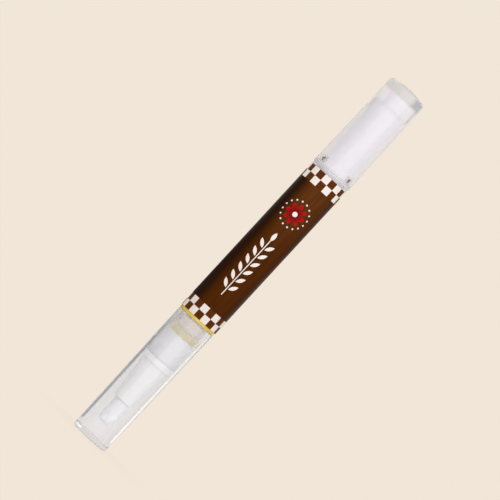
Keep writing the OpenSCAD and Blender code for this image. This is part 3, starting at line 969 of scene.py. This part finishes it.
knob_clear = turned_piece("knob_clear", [
    (0, core_end_z + core_gap),
    (core_bore_r, core_end_z + core_gap, 0.15),
    (core_bore_r, core_z - contact),
    (knob_bore_r, core_step_z - contact),
    (knob_bore_r, knob_z, 0.1),
    (ring_r, knob_z, 0.12),
    (ring_r, knob_z + knob_lip_h - knob_lip_chamfer),
    (ring_r - knob_lip_chamfer, knob_z + knob_lip_h),
    (knob_r, knob_z + knob_lip_h),
    (knob_top_r, knob_edge_z, knob_edge_r),
    *knob_dome(),
])
grow(knob_clear, make_pips())
knob_plastic = clear_plastic(
    "knob_plastic", tint=(0.97, 0.96, 1.0, 1), haze=0.42, smoke=6.0, end=1,
    tint_at=greyer_end, haze_at=clearer_ends,
)
finish_piece(knob_clear, "knob_body", "clear_shell", knob_plastic, "knob_shell")


# ---------------------------------------------------------------- nodes that keep their own shape

window_r = knob_bore_r - 0.1
window_half_h = 0.75


def window_shade(g, z):
    """1 on the walls of the drive sleeve's windows, which take painted shade because hardly any
    light reaches them.
    """
    high = g.size_of(g.minus(z, pip_z))
    return g.all_of(g.below(g.from_axis(), window_r), g.below(high, window_half_h))


node_looks = {
    "ferrule": plain_plastic(
        "ferrule_plastic", screen(236, 236, 232), screen(230, 230, 226), 0.3),
    "feed_tube": plain_plastic(
        "feed_plastic", screen(226, 226, 220), screen(216, 216, 210), 0.4),
    "piston": plain_plastic(
        "piston_plastic", screen(240, 240, 236), screen(234, 234, 230), 0.35),
    "piston_seal": plain_plastic(
        "seal_rubber", screen(82, 82, 84), screen(70, 70, 72), 0.65, grain=2.0, bump=0.3),
    "screw_rod": plain_plastic(
        "rod_plastic", screen(238, 238, 236), screen(230, 230, 228), 0.35),
    "thread_nut": plain_plastic(
        "nut_acetal", screen(200, 204, 208), screen(190, 194, 198), 0.4),
    "ratchet_ring": plain_plastic(
        "ratchet_acetal", screen(196, 200, 204), screen(186, 190, 194), 0.4),
    "click_spring": plain_plastic(
        "spring_acetal", screen(176, 184, 190), screen(168, 176, 184), 0.35),
    # The drive sleeve has painted shade on the walls of its windows
    "drive_sleeve": plain_plastic(
        "sleeve_plastic", screen(231, 228, 232), screen(229, 226, 230), 0.6, bump=0.02,
        shaded=window_shade),
}
for node, look in node_looks.items():
    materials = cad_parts[node].data.materials
    for i in range(len(materials)):
        materials[i] = look


# ---------------------------------------------------------------- stage, lamps and camera

floor_r = 28.0
floor_z = -0.02
backdrop = screen(241, 230, 216)
floor_paper, floor_fibre = screen(232, 222, 208), screen(229, 219, 205)

# How much of the backdrop's colour the floor shows, beside the pen and near the floor's edge
floor_share_r = (7.0, floor_r - 2.0)
floor_shares = (0.92, 1.0)

world_light = 0.66

# A dark card behind the pen, low down on its left. The camera doesn't see it, but its image runs
# as a dark line along the cap's wall. It has soft edges: its turns are degrees round Z, and its
# heights are those of a direction whose length is 1.
card_colour = screen(114, 115, 125)
card_turns = (20.0, 25.0, 56.0, 64.0)
card_heights = (-0.3, -0.25, -0.02, 0.01)

camera_slant = 47.32
camera_distance = 950.0
camera_aim = (-2.5, 0, 69.65)
seen_width = 141.0
sensor_width = 36


def backdrop_share(g):
    """1 for what the camera, mirrors and glass see, and 0 for what lights the object."""
    path = g.add("ShaderNodeLightPath")
    seen = ("Is Camera Ray", "Is Glossy Ray", "Is Transmission Ray")
    return g.any_of(*(path.outputs[name] for name in seen))


def make_floor():
    """A round table top, which runs out into a backdrop of its own colour."""
    bm = bmesh.new()
    bmesh.ops.create_circle(bm, cap_ends=True, segments=turn_steps, radius=floor_r)
    bmesh.ops.translate(bm, verts=bm.verts, vec=(0, 0, floor_z))
    floor = new_piece("floor", bm)
    material, g = new_material("floor_paper")
    fibres = g.noise((0.5, 0.5, 0.5), detail=4.0)
    paper = g.mix(g.ramp(fibres, 0.3, 0.7), floor_paper, floor_fibre)
    lit = g.add("ShaderNodeBsdfDiffuse", {"Color": paper})
    shown = g.add("ShaderNodeEmission", {"Color": backdrop})
    share = g.ramp(g.from_axis(), *floor_share_r, *floor_shares)
    share = g.times(backdrop_share(g), share)
    g.finish(g.blend(share, lit.outputs[0], shown.outputs[0]))
    floor.data.materials.append(material)


def make_world():
    """Even light from all round, which shows as the backdrop, with the card in it."""
    world = bpy.data.worlds.new("studio")
    bpy.context.scene.world = world
    world.use_nodes = True
    g = Graph(world.node_tree)
    light = g.add("ShaderNodeBackground", {"Color": (1, 1, 1, 1), "Strength": world_light})
    x, y, z = g.parts(g.add("ShaderNodeTexCoord").outputs["Generated"])
    aside = g.math("DEGREES", g.math("ARCTAN2", g.times(x, -1.0), y))
    camera_ray = g.add("ShaderNodeLightPath").outputs["Is Camera Ray"]
    card = g.all_of(g.band(aside, *card_turns), g.band(z, *card_heights), g.minus(1.0, camera_ray))
    shown = g.add("ShaderNodeBackground", {"Color": g.mix(card, backdrop, card_colour)})
    out = g.add("ShaderNodeOutputWorld")
    mixed = g.blend(backdrop_share(g), light.outputs[0], shown.outputs[0])
    g.put(out.inputs["Surface"], mixed)


def softbox(name, place, width, height, power, mirrored=True, seen_in_glass=False):
    """A soft lamp that faces the middle of the pen, out of the camera's sight from any side.
    Mirrored is whether surfaces mirror it, and seen_in_glass whether it shows through glass."""
    lamp = bpy.data.lights.new(name, "AREA")
    lamp.shape = "RECTANGLE"
    lamp.size = width * MM
    lamp.size_y = height * MM
    lamp.energy = power
    holder = bpy.data.objects.new(name, lamp)
    bpy.context.scene.collection.objects.link(holder)
    holder.location = Vector(place) * MM
    aim = Vector((0, 0, knob_end_z / 2)) * MM - holder.location
    holder.rotation_euler = aim.to_track_quat("-Z", "Y").to_euler()
    holder.visible_camera = False
    holder.visible_glossy = mirrored
    holder.visible_transmission = seen_in_glass


def make_camera():
    """The photograph's view: square to the pen, which lies at a slant in the frame."""
    slant = math.radians(camera_slant)
    right = Vector((math.sin(slant), 0, math.cos(slant)))
    up = Vector((-math.cos(slant), 0, math.sin(slant)))
    back = Vector((0, -1, 0))
    data = bpy.data.cameras.new("photo_camera")
    data.sensor_width = sensor_width
    data.lens = sensor_width * camera_distance / seen_width
    data.clip_start = 0.01
    data.clip_end = 20
    camera = bpy.data.objects.new("photo_camera", data)
    bpy.context.scene.collection.objects.link(camera)
    turn = Matrix((right, up, back)).transposed().to_4x4()
    place = (Vector(camera_aim) + back * camera_distance) * MM
    camera.matrix_world = Matrix.Translation(place) @ turn
    bpy.context.scene.camera = camera


make_floor()
make_world()
softbox("key", (210, -850, 320), width=1300, height=1000, power=5.1)
softbox("rim", (456, 544, -100), width=360, height=300, power=0.14, seen_in_glass=True)
softbox("fill", (-300, 850, 250), width=1000, height=800, power=3.0, mirrored=False)
make_camera()
bpy.context.scene.view_settings.view_transform = "Standard"

bpy.context.view_layer.update()
